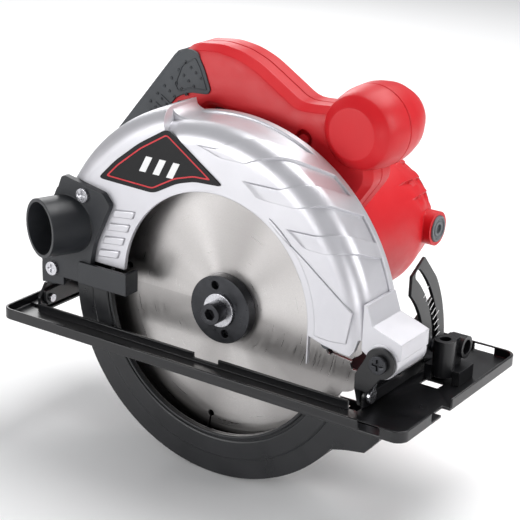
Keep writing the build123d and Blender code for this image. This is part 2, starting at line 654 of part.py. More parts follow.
# ---------------------------------------------------------------- handle
TRIGGER_PIVOT = grip(11, -5)
HANDLE_OUTLINE = [
    (54, 86), (72, 112), (66, 141), (50, 151), (23.5, 148.3), (-5.7, 166.6), (-18.1, 170.7), (-32.8, 173),
    (-51.1, 170.7), (-57.4, 165.5), (-91, 122.8), (-106, 104), (-112, 90), (-109, 77), (-97, 67), (-60, 52),
    (-20, 40), (MOTOR_X, MOTOR_Z),
]
HANDLE_OPENING = [
    grip(17, 0), grip(58, 0), (-72, 90), (-62, 82), (-23, 71), (-12, 92), (4, 103), (12, 112), (14, 120),
    (4, 130), (-10, 134.5),
]


def pommel(y, shrink=0.0):
    profile = [(13.5, 19.5), (18.5, 23), (22, 30), (24, 43), (24, 50), (22.5, 62), (17.5, 72), (10, 76)]
    points = [(0, 19.5)] + profile + [(0, 76)]
    points = [(max(0.0, r - shrink), yy + shrink * (1 if yy < 40 else -1)) for r, yy in points]
    return spun(points, POMMEL_X, POMMEL_Z) & box((0, 130), y, (80, 200))


def motor_envelope():
    """Space that the motor housing and the gear case fill."""
    return rod_y(HOUSING_R, (0, 150), MOTOR_X, MOTOR_Z) + rod_y(36.6, (0, CASE_Y[1]))


def inlet_plane():
    return Plane(origin=(-103.5, HANDLE_MID, 71.5), z_dir=(-0.77, 0.0, -0.64))


def handle_half(y_outer, y_mid):
    """One clamshell half between its outer face and the parting plane."""
    low, high = sorted((y_outer, y_mid))
    inward = 1 if y_mid > y_outer else -1
    outline = plate_y(HANDLE_OUTLINE, (low, high), radius=4.0)
    outline -= plate_y(HANDLE_OPENING, (low - 1, high + 1), radius=4.0)
    reach = (0, y_mid) if inward > 0 else (y_mid, 90)
    solid = outline + pommel(reach)
    wall = HANDLE_WALL
    cavity_y = sorted((y_outer + inward * wall, y_mid))
    band = [grip(6, -wall), grip(60, -wall), grip(66, -28.4), grip(-4, -28.4), grip(-6, -12)]
    cavity = plate_y(band, cavity_y, radius=2.0) + (pommel(reach, wall))
    solid -= cavity
    trigger_gap = [grip(5, -12), grip(41, -12), grip(41, 10.5), grip(5, 10.5)]
    solid -= plate_y(trigger_gap, (HANDLE_MID - 7.6, HANDLE_MID + 7.6))
    pad = [grip(4, -31.4), grip(78, -31.4), grip(78, -40), grip(4, -40)]
    solid -= plate_y(pad, (HANDLE_MID - 13.0, HANDLE_MID + 13.0))
    return solid - motor_envelope() - Solid.make_cylinder(8.0, 14.0, inlet_plane())


def handle_shell_right():
    return handle_half(HANDLE_MID - HANDLE_HALF, HANDLE_MID)


def handle_shell_left():
    shell = handle_half(HANDLE_MID + HANDLE_HALF, HANDLE_MID)
    x, z = grip(2, -16)
    return shell - rod_y(5.1, (50, 62), x, z)


def grip_pad():
    pad = [grip(4, -31.4), grip(76, -31.4), grip(76, -34.0), grip(4, -34.0)]
    return plate_y(pad, (HANDLE_MID - 13.0, HANDLE_MID + 13.0))


def handle_screws():
    spots = [(-26, 161.5), (-98, 98), (29, 130), (-80, 66), (40, 112)]
    y = HANDLE_MID + HANDLE_HALF
    return joined([rod_y(3.6, (y, y + 1.6), x, z) for x, z in spots])


def trigger():
    points = [grip(8, -8), grip(8, 3), grip(14, 8), grip(31, 9), grip(38, 2), grip(38, -8)]
    body = plate_y(points, (HANDLE_MID - 7.2, HANDLE_MID + 7.2), radius=1.5)
    x, z = TRIGGER_PIVOT
    return body - rod_y(1.55, (30, 56), x, z)


def trigger_pin():
    x, z = TRIGGER_PIVOT
    return rod_y(1.5, (HANDLE_MID - 13.0, HANDLE_MID + 13.0), x, z)


def trigger_switch():
    points = [grip(10, -27), grip(44, -27), grip(44, -13.5), grip(10, -13.5)]
    return plate_y(points, (HANDLE_MID - 8, HANDLE_MID + 8))


def lock_off_button():
    x, z = grip(2, -16)
    return rod_y(5.0, (52.5, 63.0), x, z)


def cord_inlet():
    """Bushing where a supply cord would enter the handle."""
    gland = Solid.make_cylinder(8.0, 14.0, inlet_plane())
    return gland - Solid.make_cylinder(4.0, 16.0, inlet_plane().offset(-1))


# ---------------------------------------------------------------- lower guard and clamps
def lower_guard():
    y0, y1 = LOWER_Y
    wall = 1.6
    near = tube_y(LOWER_R, LOWER_RING_R, (y0, y0 + wall))
    rim = tube_y(LOWER_R, LOWER_R - 2.2, LOWER_Y)
    far = tube_y(LOWER_R, BOSS_R + 0.3, (y1 - wall, y1))
    keep = [(0, SPINDLE_Z), (-145, 99), (-145, -90), (150, -90), (150, -8), (34, -8)]
    ring = (near + rim + far) & plate_y(keep, (y0 - 1, y1 + 1))
    nose = [(80, -8), (98, -9.6), (111, -12.3), (110, -16), (101.7, -25.5), (89.7, -27.5), (80, -30)]
    hollow = [(70, -5), (96, -5), (106.5, -9), (106, -14), (99.5, -21.6), (88, -23.6), (70, -27)]
    toe = plate_y(nose, LOWER_Y) - box((97.5, 120), (TOE_Y, y1 + 1), (-60, 0))
    toe -= plate_y(hollow, (y0 + wall, y1 - wall)) & box((60, 95.9), LOWER_Y, (-60, 0))
    toe -= plate_y(hollow, (y0 + wall, TOE_Y - wall))
    toe -= rod_y(LOWER_R - 2.2, (y0 + wall, y1 - wall))
    collar = tube_y(29.0, BOSS_R + 0.3, (8.2, 12.2))
    return ring + toe + collar


def lift_lever():
    """Thumb lever of the lower guard, which reaches out through the arc slot of the upper guard."""
    x, z = polar(90.0, 180)
    return rod_y(3.6, (LOWER_Y[1], 21.0), x, z) + rod_y(6.0, (17.0, 21.0), x, z)


def depth_clamp_bolt():
    x, z = polar(ARC_R, 180, DEPTH_X, DEPTH_Z)
    return rod_y(3.0, (GUARD_BACK, 33.0), x, z) + rod_y(7.0, (GUARD_BACK, 21.8), x, z)


def depth_clamp_lever():
    x, z = polar(ARC_R, 180, DEPTH_X, DEPTH_Z)
    hub = rod_y(8.0, (24.8, 33.0), x, z)
    arm = plate_y([(x, z + 5), (x - 26, z + 4), (x - 32, z), (x - 26, z - 4), (x, z - 5)], (27.0, 32.0))
    return hub + arm - rod_y(3.05, (24, 34), x, z)


# ---------------------------------------------------------------- write every node
def build():
    os.makedirs("parts", exist_ok=True)
    makers = [
        base_plate, bevel_quadrant, rear_hinge_bracket, tilt_pins, guide_holder, base_rivets,
        tilt_bracket, depth_pivot_screw, bevel_clamp_bolt, bevel_clamp_lever, depth_arc, pivot_spring,
        upper_guard, badge_plate, dust_adapter, adapter_screws, guard_bumper, guard_return_spring,
        drive_gear, pinion, arbor, saw_blade, outer_flange, inner_flange, blade_washer, blade_bolt,
        arbor_front_bearing, arbor_rear_bearing, gear_case, gear_case_screws, spindle_lock_button,
        motor_housing, end_cap, end_cap_screws, stator_core, field_coils, armature_shaft,
        armature_core, armature_windings, commutator, cooling_fan, motor_front_bearing, motor_rear_bearing,
        handle_shell_right, handle_shell_left, grip_pad, handle_screws, trigger, trigger_pin, trigger_switch,
        lock_off_button, cord_inlet, lower_guard, lift_lever, depth_clamp_bolt, depth_clamp_lever,
    ]
    for make in makers:
        save(make.__name__, make())
    for name, shape in zip(("brush_holders", "carbon_brushes", "brush_caps"), brush_parts()):
        save(name, shape)


build()
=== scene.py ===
"""Looks for the circular saw: materials, detailed pieces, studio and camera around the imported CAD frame."""

import json
import math

import bmesh
import bpy
from mathutils import Matrix, Vector


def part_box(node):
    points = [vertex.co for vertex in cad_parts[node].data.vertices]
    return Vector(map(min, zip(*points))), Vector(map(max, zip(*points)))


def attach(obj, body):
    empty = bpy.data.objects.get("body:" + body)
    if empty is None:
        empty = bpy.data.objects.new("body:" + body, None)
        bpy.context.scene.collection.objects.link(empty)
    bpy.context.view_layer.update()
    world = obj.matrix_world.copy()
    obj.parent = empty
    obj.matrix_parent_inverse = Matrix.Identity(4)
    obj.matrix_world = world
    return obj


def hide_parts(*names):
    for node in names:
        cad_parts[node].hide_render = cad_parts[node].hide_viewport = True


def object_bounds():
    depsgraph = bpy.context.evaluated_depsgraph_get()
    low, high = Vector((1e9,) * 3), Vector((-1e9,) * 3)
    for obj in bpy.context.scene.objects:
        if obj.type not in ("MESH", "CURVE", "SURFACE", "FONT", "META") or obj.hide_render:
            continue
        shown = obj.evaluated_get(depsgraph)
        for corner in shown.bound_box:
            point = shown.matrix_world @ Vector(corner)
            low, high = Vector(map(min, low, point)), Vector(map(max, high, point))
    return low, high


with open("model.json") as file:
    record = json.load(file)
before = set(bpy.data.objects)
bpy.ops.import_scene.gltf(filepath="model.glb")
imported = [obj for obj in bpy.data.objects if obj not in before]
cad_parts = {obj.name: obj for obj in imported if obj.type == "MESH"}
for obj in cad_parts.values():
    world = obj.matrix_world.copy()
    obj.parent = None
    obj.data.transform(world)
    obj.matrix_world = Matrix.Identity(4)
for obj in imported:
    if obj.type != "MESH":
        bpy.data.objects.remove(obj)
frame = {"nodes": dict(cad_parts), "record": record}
CAD_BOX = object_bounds()
NODES = frame["nodes"]
RECORD = frame["record"]
BODY_OF = {node: body for body, nodes in RECORD["behaviour"]["bodies"].items() for node in nodes}
MM = 0.001

# Axes that the materials and the new pieces are built on, read from the CAD nodes.
blade_low, blade_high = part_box("saw_blade")
BLADE_Y = (blade_low.y + blade_high.y) / 2
flange_low, flange_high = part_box("outer_flange")
SPINDLE = Vector(((flange_low.x + flange_high.x) / 2, BLADE_Y, (flange_low.z + flange_high.z) / 2))
cap_low, cap_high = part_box("motor_rear_bearing")
MOTOR = Vector(((cap_low.x + cap_high.x) / 2, cap_high.y, (cap_low.z + cap_high.z) / 2))


# ---------------------------------------------------------------- camera, light and floor
CAMERA_PLACE = (0.4940, -0.7796, 0.3859)
CAMERA_TURN, CAMERA_RISE, CAMERA_ROLL = 33.31, 20.47, 2.20  # degrees
CAMERA_LENS, CAMERA_SENSOR = 114.1, 36.0  # millimetres
# Each softbox has a name, a place, a size and a power; all of them face STUDIO_MIDDLE.
STUDIO_MIDDLE = (0.0, -0.03, 0.06)
SOFTBOXES = [
    ("key_softbox", (-0.60, -1.25, 0.30), (0.9, 0.6), 11),
    ("front_softbox", (0.95, -0.8, 0.10), (0.4, 0.5), 2.5),
    ("top_softbox", (0.15, 0.55, 1.2), (0.9, 0.9), 15),
    ("side_softbox", (1.15, 0.35, 0.55), (0.5, 0.7), 6),
    ("rear_softbox", (-0.9, 0.8, 0.6), (0.7, 0.7), 6),
]
SKY_COLOUR, SKY_STRENGTH = (0.96, 0.97, 1.0), 0.30
FLOOR_REACH, FLOOR_GAP = 6.0, 0.0005


def add_camera():
    azimuth, elevation, roll = (math.radians(a) for a in (CAMERA_TURN, CAMERA_RISE, CAMERA_ROLL))
    back = Vector((
        math.sin(azimuth) * math.cos(elevation),
        -math.cos(azimuth) * math.cos(elevation),
        math.sin(elevation),
    ))
    right = Vector((math.cos(azimuth), math.sin(azimuth), 0.0))
    up = back.cross(right)
    right, up = (
        right * math.cos(roll) + up * math.sin(roll),
        up * math.cos(roll) - right * math.sin(roll),
    )
    stand = Matrix((right, up, back)).transposed().to_4x4()
    stand.translation = Vector(CAMERA_PLACE)
    data = bpy.data.cameras.new("camera")
    data.lens = CAMERA_LENS
    data.sensor_width = CAMERA_SENSOR
    data.clip_start = 0.01
    camera = bpy.data.objects.new("camera", data)
    camera.matrix_world = stand
    bpy.context.scene.collection.objects.link(camera)
    bpy.context.scene.camera = camera


def add_area(name, spot, size, power):
    data = bpy.data.lights.new(name, "AREA")
    data.shape = "RECTANGLE"
    data.size, data.size_y = size
    data.energy = power
    lamp = bpy.data.objects.new(name, data)
    lamp.location = spot
    aim = (Vector(STUDIO_MIDDLE) - Vector(spot)).to_track_quat("-Z", "Y")
    lamp.rotation_euler = aim.to_euler()
    bpy.context.scene.collection.objects.link(lamp)


def add_studio():
    for softbox in SOFTBOXES:
        add_area(*softbox)
    world = bpy.data.worlds.new("studio")
    bpy.context.scene.world = world
    world.use_nodes = True
    sky = world.node_tree.nodes["Background"]
    sky.inputs["Color"].default_value = (*SKY_COLOUR, 1.0)
    sky.inputs["Strength"].default_value = SKY_STRENGTH
    view = bpy.context.scene.view_settings
    view.view_transform = "Standard"
    view.look = "None"


def add_floor():
    low = CAD_BOX[0].z - FLOOR_GAP
    ends = ((-1, -1), (1, -1), (1, 1), (-1, 1))
    mesh = bpy.data.meshes.new("floor")
    mesh.from_pydata([(x * FLOOR_REACH, y * FLOOR_REACH, low) for x, y in ends], [], [(0, 1, 2, 3)])
    floor = bpy.data.objects.new("floor", mesh)
    bpy.context.scene.collection.objects.link(floor)
    paint = Paint("floor_paper", (0.93, 0.93, 0.93), 0.9)
    paint.mottle((0.95, 0.95, 0.95), 3.0, 0.4).gloss(40.0, 0.85, 0.95)
    paint.bump(paint.noise(900.0, 2.0), 0.05, 0.05 * MM)
    floor.data.materials.append(paint.material)


# ---------------------------------------------------------------- materials
class Paint:
    """A Principled material with object coordinates and a chain of bumps."""

    def __init__(self, name, colour, roughness, metallic=0.0, **sockets):
        self.material = bpy.data.materials.new(name)
        self.material.use_nodes = True
        self.tree = self.material.node_tree
        self.shader = self.tree.nodes["Principled BSDF"]
        self.shader.inputs["Base Color"].default_value = (*colour, 1.0)
        self.shader.inputs["Roughness"].default_value = roughness
        self.shader.inputs["Metallic"].default_value = metallic
        for socket, value in sockets.items():
            self.shader.inputs[socket.replace("_", " ")].default_value = value
        self.colour = colour
        self.roughness = roughness
        self.place = self.node("ShaderNodeTexCoord").outputs["Object"]
        self.normal = None

    def node(self, kind, **settings):
        made = self.tree.nodes.new(kind)
        for key, value in settings.items():
            setattr(made, key, value)
        return made

    def link(self, a, b):
        self.tree.links.new(a, b)

    def noise(self, scale, detail=3.0, rough=0.55, stretch=None, place=None):
        source = place or self.place
        if stretch:
            mapping = self.node("ShaderNodeMapping")
            mapping.inputs["Scale"].default_value = stretch
            self.link(source, mapping.inputs["Vector"])
            source = mapping.outputs["Vector"]
        noise = self.node("ShaderNodeTexNoise")
        noise.inputs["Scale"].default_value = scale
        noise.inputs["Detail"].default_value = detail
        noise.inputs["Roughness"].default_value = rough
        self.link(source, noise.inputs["Vector"])
        return noise.outputs["Fac"]

    def ramp(self, fac, low, high, a, b):
        ramp = self.node("ShaderNodeMapRange")
        ramp.inputs["From Min"].default_value = low
        ramp.inputs["From Max"].default_value = high
        ramp.inputs["To Min"].default_value = a
        ramp.inputs["To Max"].default_value = b
        self.link(fac, ramp.inputs["Value"])
        return ramp.outputs["Result"]

    def mix(self, fac, a, b):
        mix = self.node("ShaderNodeMix", data_type="RGBA")
        self.link(fac, mix.inputs["Factor"])
        for value, socket in ((a, mix.inputs[6]), (b, mix.inputs[7])):
            if isinstance(value, tuple):
                socket.default_value = (*value, 1.0)
            else:
                self.link(value, socket)
        return mix.outputs[2]

    def mottle(self, other, scale, amount, stretch=None):
        """Blend the base colour softly towards another colour."""
        fac = self.ramp(self.noise(scale, 4.0, 0.6, stretch), 0.35, 0.7, 0.0, amount)
        self.link(self.mix(fac, self.colour, other), self.shader.inputs["Base Color"])
        return self

    def gloss(self, scale, low, high, stretch=None, place=None):
        """Vary the roughness between two values."""
        fac = self.noise(scale, 4.0, 0.6, stretch, place)
        self.link(self.ramp(fac, 0.3, 0.7, low, high), self.shader.inputs["Roughness"])
        return self

    def bump(self, height, strength, distance):
        bump = self.node("ShaderNodeBump")
        bump.inputs["Strength"].default_value = strength
        bump.inputs["Distance"].default_value = distance
        self.link(height, bump.inputs["Height"])
        if self.normal is not None:
            self.link(self.normal, bump.inputs["Normal"])
        self.normal = bump.outputs["Normal"]
        self.link(self.normal, self.shader.inputs["Normal"])
        return self

    def soft_edges(self, radius):
        """Edges catch the light as if they were rounded."""
        bevel = self.node("ShaderNodeBevel", samples=6)
        bevel.inputs["Radius"].default_value = radius
        self.normal = bevel.outputs["Normal"]
        self.link(self.normal, self.shader.inputs["Normal"])
        return self

    def polar(self, centre):
        """Radius and angle about an axis along Y, as one vector for textures."""
        split = self.node("ShaderNodeSeparateXYZ")
        self.link(self.place, split.inputs["Vector"])

        def math_node(operation, a, b=None):
            made = self.node("ShaderNodeMath", operation=operation)
            for value, socket in ((a, made.inputs[0]), (b, made.inputs[1])):
                if value is None:
                    continue
                if isinstance(value, (int, float)):
                    socket.default_value = value
                else:
                    self.link(value, socket)
            return made.outputs["Value"]

        x = math_node("SUBTRACT", split.outputs["X"], centre.x)
        z = math_node("SUBTRACT", split.outputs["Z"], centre.z)
        radius = math_node("SQRT", math_node("ADD", math_node("MULTIPLY", x, x), math_node("MULTIPLY", z, z)))
        angle = math_node("ARCTAN2", z, x)
        join = self.node("ShaderNodeCombineXYZ")
        self.link(radius, join.inputs["X"])
        self.link(angle, join.inputs["Y"])
        self.link(split.outputs["Y"], join.inputs["Z"])
        return join.outputs["Vector"]


def cast_silver():
    paint = Paint("cast_silver_paint", (0.60, 0.595, 0.625), 0.34, 0.5, Coat_Weight=0.15, Coat_Roughness=0.25)
    paint.soft_edges(0.7 * MM).mottle((0.52, 0.515, 0.55), 22.0, 0.5).gloss(60.0, 0.30, 0.44)
    paint.bump(paint.noise(420.0, 4.0), 0.10, 0.10 * MM)
    return paint.bump(paint.noise(2600.0, 2.0), 0.08, 0.05 * MM).material


def red_plastic():
    paint = Paint("red_plastic", (0.60, 0.010, 0.016), 0.42, Specular_IOR_Level=0.32)
    paint.soft_edges(0.7 * MM).mottle((0.52, 0.007, 0.012), 14.0, 0.6).gloss(90.0, 0.36, 0.48)
    return paint.bump(paint.noise(1900.0, 3.0), 0.16, 0.06 * MM).material


def black_paint():
    paint = Paint(
        "black_powder_coat", (0.006, 0.006, 0.007), 0.30,
        Specular_IOR_Level=0.4, Coat_Weight=0.15, Coat_Roughness=0.25,
    )
    paint.soft_edges(0.5 * MM).mottle((0.010, 0.010, 0.012), 40.0, 0.6).gloss(50.0, 0.27, 0.34)
    return paint.bump(paint.noise(1400.0, 2.0), 0.10, 0.04 * MM).material


def black_casting():
    paint = Paint(
        "black_cast_paint", (0.010, 0.0105, 0.012), 0.34,
        Specular_IOR_Level=0.4, Coat_Weight=0.12, Coat_Roughness=0.25,
    )
    paint.soft_edges(0.8 * MM).mottle((0.016, 0.0165, 0.019), 30.0, 0.6).gloss(60.0, 0.26, 0.42)
    return paint.bump(paint.noise(900.0, 3.0), 0.2, 0.08 * MM).material


def charcoal_plastic():
    paint = Paint("charcoal_plastic", (0.020, 0.0215, 0.025), 0.40, Specular_IOR_Level=0.4)
    paint.soft_edges(0.7 * MM).mottle((0.028, 0.030, 0.034), 25.0, 0.6).gloss(80.0, 0.34, 0.48)
    return paint.bump(paint.noise(1500.0, 3.0), 0.2, 0.07 * MM).material


def grip_rubber():
    paint = Paint("grip_rubber", (0.045, 0.050, 0.056), 0.62)
    paint.soft_edges(0.6 * MM).mottle((0.060, 0.066, 0.073), 60.0, 0.6).gloss(120.0, 0.55, 0.72)
    return paint.bump(paint.noise(1200.0, 3.0), 0.25, 0.08 * MM).material


def brushed_blade():
    paint = Paint("brushed_blade_steel", (0.62, 0.60, 0.59), 0.30, 1.0)
    paint.soft_edges(0.25 * MM)
    streaks = paint.noise(1.0, 5.0, 0.7, (2400.0, 90.0, 2400.0))
    rings = paint.noise(1.0, 4.0, 0.6, (900.0, 2.2, 1.0), paint.polar(SPINDLE))
    fac = paint.ramp(streaks, 0.3, 0.7, 0.0, 1.0)
    tone = paint.mix(fac, (0.64, 0.62, 0.61), (0.54, 0.52, 0.51))
    # Painted reflection: broad fans round the spindle darken the base colour by angle, a painted sheen and
    # shade that stands in for how the blade reflects the lights.
    painted_reflection_fans = paint.noise(1.0, 1.5, 0.5, (3.0, 1.1, 1.0), paint.polar(SPINDLE))
    painted_sheen_mask = paint.ramp(painted_reflection_fans, 0.42, 0.62, 0.0, 0.75)
    tone = paint.mix(painted_sheen_mask, tone, (0.30, 0.285, 0.28))
    paint.link(tone, paint.shader.inputs["Base Color"])
    paint.link(paint.ramp(rings, 0.3, 0.7, 0.26, 0.40), paint.shader.inputs["Roughness"])
    paint.bump(streaks, 0.12, 0.03 * MM)
    return paint.bump(rings, 0.06, 0.02 * MM).material


def machined_steel():
    paint = Paint("machined_steel", (0.50, 0.50, 0.52), 0.30, 1.0)
    paint.soft_edges(0.3 * MM).mottle((0.40, 0.40, 0.42), 120.0, 0.6).gloss(200.0, 0.22, 0.38)
    return paint.bump(paint.noise(1.0, 3.0, 0.6, (1500.0, 150.0, 1500.0)), 0.12, 0.03 * MM).material


def zinc_plate():
    paint = Paint("zinc_plated_steel", (0.60, 0.60, 0.63), 0.26, 1.0)
    paint.soft_edges(0.3 * MM).mottle((0.48, 0.48, 0.52), 250.0, 0.5).gloss(300.0, 0.2, 0.36)
    return paint.bump(paint.noise(900.0, 3.0), 0.1, 0.04 * MM).material


def black_oxide():
    paint = Paint("black_oxide_steel", (0.035, 0.036, 0.040), 0.33, 0.75)
    paint.soft_edges(0.35 * MM).mottle((0.055, 0.056, 0.062), 160.0, 0.6).gloss(220.0, 0.25, 0.42)
    return paint.bump(paint.noise(1100.0, 3.0), 0.15, 0.04 * MM).material


def copper():
    paint = Paint("copper_windings", (0.60, 0.26, 0.12), 0.34, 0.9)
    paint.mottle((0.45, 0.16, 0.07), 300.0, 0.7).gloss(300.0, 0.28, 0.45)
    return paint.bump(paint.noise(1.0, 2.0, 0.5, (2200.0, 80.0, 2200.0)), 0.4, 0.1 * MM).material


def grey_plastic():
    paint = Paint("grey_plastic", (0.105, 0.115, 0.125), 0.45)
    paint.soft_edges(0.3 * MM).mottle((0.135, 0.145, 0.155), 90.0, 0.6).gloss(120.0, 0.38, 0.52)
    return paint.bump(paint.noise(1500.0, 3.0), 0.2, 0.05 * MM).material


def badge_black():
    paint = Paint("badge_black", (0.003, 0.003, 0.004), 0.42, Specular_IOR_Level=0.25)
    paint.soft_edges(0.3 * MM).mottle((0.006, 0.006, 0.007), 60.0, 0.5).gloss(90.0, 0.36, 0.5)
    return paint.bump(paint.noise(800.0, 2.0), 0.05, 0.03 * MM).material


def badge_red():
    paint = Paint("badge_red_line", (0.55, 0.01, 0.02), 0.3)
    paint.mottle((0.45, 0.008, 0.015), 90.0, 0.5).gloss(120.0, 0.25, 0.4)
    return paint.bump(paint.noise(900.0, 2.0), 0.06, 0.02 * MM).material


def badge_white():
    paint = Paint("badge_white_mark", (0.80, 0.80, 0.80), 0.35)
    paint.mottle((0.70, 0.70, 0.71), 90.0, 0.5).gloss(120.0, 0.3, 0.42)
    return paint.bump(paint.noise(900.0, 2.0), 0.06, 0.02 * MM).material


FINISHES = {
    "cast_silver": (cast_silver, ["upper_guard", "gear_case"]),
    "red_plastic": (red_plastic, ["motor_housing", "handle_shell_right", "handle_shell_left"]),
    "black_paint": (black_paint, [
        "base_plate", "bevel_quadrant", "rear_hinge_bracket", "tilt_bracket", "depth_arc", "guide_holder",
    ]),
    "black_casting": (black_casting, ["lower_guard"]),
    "charcoal": (charcoal_plastic, [
        "dust_adapter", "end_cap", "trigger", "trigger_switch", "lock_off_button", "cooling_fan",
        "bevel_clamp_lever", "depth_clamp_lever", "spindle_lock_button", "carbon_brushes", "lift_lever",
    ]),
    "grey_plastic": (grey_plastic, ["brush_caps"]),
    "rubber": (grip_rubber, ["grip_pad", "guard_bumper", "cord_inlet"]),
    "blade": (brushed_blade, ["saw_blade"]),
    "machined": (machined_steel, [
        "inner_flange", "arbor", "drive_gear", "pinion", "armature_shaft", "arbor_front_bearing",
        "arbor_rear_bearing", "motor_front_bearing", "motor_rear_bearing", "stator_core", "armature_core",
        "trigger_pin",
    ]),
    "zinc": (zinc_plate, [
        "tilt_pins", "base_rivets", "bevel_clamp_bolt", "pivot_spring", "adapter_screws",
        "guard_return_spring", "gear_case_screws", "end_cap_screws", "handle_screws", "depth_clamp_bolt",
        "blade_washer",
    ]),
    "black_oxide": (black_oxide, ["outer_flange", "blade_bolt", "depth_pivot_screw"]),
    "copper": (copper, ["field_coils", "armature_windings", "commutator", "brush_holders"]),
    "badge": (badge_black, ["badge_plate"]),
}
MATERIALS = {}


def dress_nodes():
    for name, (make, nodes) in FINISHES.items():
        MATERIALS[name] = make()
        for node in nodes:
            data = NODES[node].data
            data.materials.clear()
            data.materials.append(MATERIALS[name])


# ---------------------------------------------------------------- shapes
SHARP_ANGLE, ROUNDED_ANGLE = 24, 28  # degrees from which an edge stays sharp, and from which it is rounded
MERGE = 2e-6  # metres


def at(x, y, z):
    """Millimetres from the blade's mid-plane and the sole, as a point of the frame."""
    return Vector((x * MM, BLADE_Y + y * MM, z * MM))


def smooth(mesh):
    mesh.polygons.foreach_set("use_smooth", [True] * len(mesh.polygons))
    mesh.set_sharp_from_angle(angle=math.radians(SHARP_ANGLE))


def place(mesh, name):
    made = bpy.data.objects.new(name, mesh)
    bpy.context.scene.collection.objects.link(made)
    return made


def shape(name, points, faces):
    mesh = bpy.data.meshes.new(name)
    mesh.from_pydata([tuple(p) for p in points], [], faces)
    work = bmesh.new()
    work.from_mesh(mesh)
    bmesh.ops.remove_doubles(work, verts=work.verts, dist=1e-6)
    bmesh.ops.recalc_face_normals(work, faces=work.faces)
    work.to_mesh(mesh)
    work.free()
    return place(mesh, name)


def grid_solid(name, top, bottom):
    """Closed piece between two equal grids of points."""
    rows, columns = len(top), len(top[0])
    points = [p for row in top for p in row] + [p for row in bottom for p in row]
    low = rows * columns
    faces = []
    for i in range(rows - 1):
        for j in range(columns - 1):
            a = i * columns + j
            quad = (a, a + 1, a + columns + 1, a + columns)
            faces += [quad, tuple(low + v for v in reversed(quad))]
    rim = [j for j in range(columns)]
    rim += [i * columns + columns - 1 for i in range(1, rows)]
    rim += [(rows - 1) * columns + j for j in range(columns - 2, -1, -1)]
    rim += [i * columns for i in range(rows - 2, 0, -1)]
    for k, a in enumerate(rim):
        b = rim[(k + 1) % len(rim)]
        faces.append((a, b, low + b, low + a))
    return shape(name, points, faces)


def slab(name, outline, y, hole=None):
    """Straight-sided plate in the XZ plane, with an optional opening."""
    work = bmesh.new()
    loops = []
    for line in [outline] + ([hole] if hole else []):
        made = [work.verts.new(at(x, y[0], z)) for x, z in line]
        loops.append([work.edges.new((made[i], made[i - 1])) for i in range(len(made))])
    face = bmesh.ops.triangle_fill(work, use_beauty=True, edges=[e for loop in loops for e in loop])
    flat = [g for g in face["geom"] if isinstance(g, bmesh.types.BMFace)]
    grown = bmesh.ops.extrude_face_region(work, geom=flat)
    moved = [g for g in grown["geom"] if isinstance(g, bmesh.types.BMVert)]
    bmesh.ops.translate(work, verts=moved, vec=(0, (y[1] - y[0]) * MM, 0))
    bmesh.ops.dissolve_limit(work, angle_limit=0.01, verts=work.verts, edges=work.edges)
    bmesh.ops.recalc_face_normals(work, faces=work.faces)
    mesh = bpy.data.meshes.new(name)
    work.to_mesh(mesh)
    work.free()
    return place(mesh, name)


def spun(name, profile, x, z, steps=96, shape_of=None, start=0.0, end=360.0):
    """Closed profile of (radius, y) turned about an axis along Y.

    What shape_of(angle, radius, y) gives is taken off the radius.
    """
    full = end - start >= 360
    count = steps if full else steps + 1
    points, faces = [], []
    size = len(profile)
    for k in range(count):
        angle = start + (end - start) * k / steps
        c, w = math.cos(math.radians(angle)), math.sin(math.radians(angle))
        for r, y in profile:
            r = max(r - (shape_of(angle, r, y) if shape_of else 0.0), 0.0)
            points.append(at(x + r * c, y, z + r * w))
    for k in range(steps):
        a, b = k * size, ((k + 1) % count) * size
        for j in range(size):
            i = (j + 1) % size
            faces.append((a + j, a + i, b + i, b + j))
    if not full:
        faces += [tuple(range(size)), tuple(reversed(range((count - 1) * size, count * size)))]
    return shape(name, points, faces)


def combine(piece, tool, operation):
    """Add or take away a tool piece, and keep the result as a plain mesh."""
    step = piece.modifiers.new("combine", "BOOLEAN")
    step.operation = operation
    step.solver = "EXACT"
    step.object = tool
    bpy.context.view_layer.update()
    result = bpy.data.meshes.new_from_object(piece.evaluated_get(bpy.context.evaluated_depsgraph_get()))
    piece.modifiers.clear()
    piece.data = result
    bpy.data.objects.remove(tool)
    work = bmesh.new()
    work.from_mesh(result)
    bmesh.ops.remove_doubles(work, verts=work.verts, dist=MERGE)
    bmesh.ops.dissolve_degenerate(work, edges=work.edges, dist=MERGE)
    work.to_mesh(result)
    work.free()


def rounding(piece, width):
    step = piece.modifiers.new("rounding", "BEVEL")
    step.width = width * MM
    step.segments = 2
    step.limit_method = "ANGLE"
    step.angle_limit = math.radians(ROUNDED_ANGLE)
    step.miter_outer = "MITER_ARC"
    step.use_clamp_overlap = True


def finish_piece(piece, material, body, nodes=(), edge=0.0):
    piece.data.materials.clear()
    piece.data.materials.append(MATERIALS[material])
    smooth(piece.data)
    if edge:
        rounding(piece, edge)
    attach(piece, body)
    if nodes:
        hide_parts(*nodes)
    return piece


def softened(node, edge):
    """A clean copy of a CAD node with small rounded edges, shown in its place."""
    mesh = NODES[node].data.copy()
    work = bmesh.new()
    work.from_mesh(mesh)
    bmesh.ops.remove_doubles(work, verts=work.verts, dist=MERGE)
    bmesh.ops.dissolve_limit(work, angle_limit=0.006, verts=work.verts, edges=work.edges)
    work.to_mesh(mesh)
    work.free()
    for name in ("custom_normal", "sharp_edge"):
        if name in mesh.attributes:
            mesh.attributes.remove(mesh.attributes[name])
    mesh.name = node + "_looks"
    piece = place(mesh, node + "_looks")
    material = next(name for name, (_, nodes) in FINISHES.items() if node in nodes)
    return finish_piece(piece, material, BODY_OF[node], [node], edge)


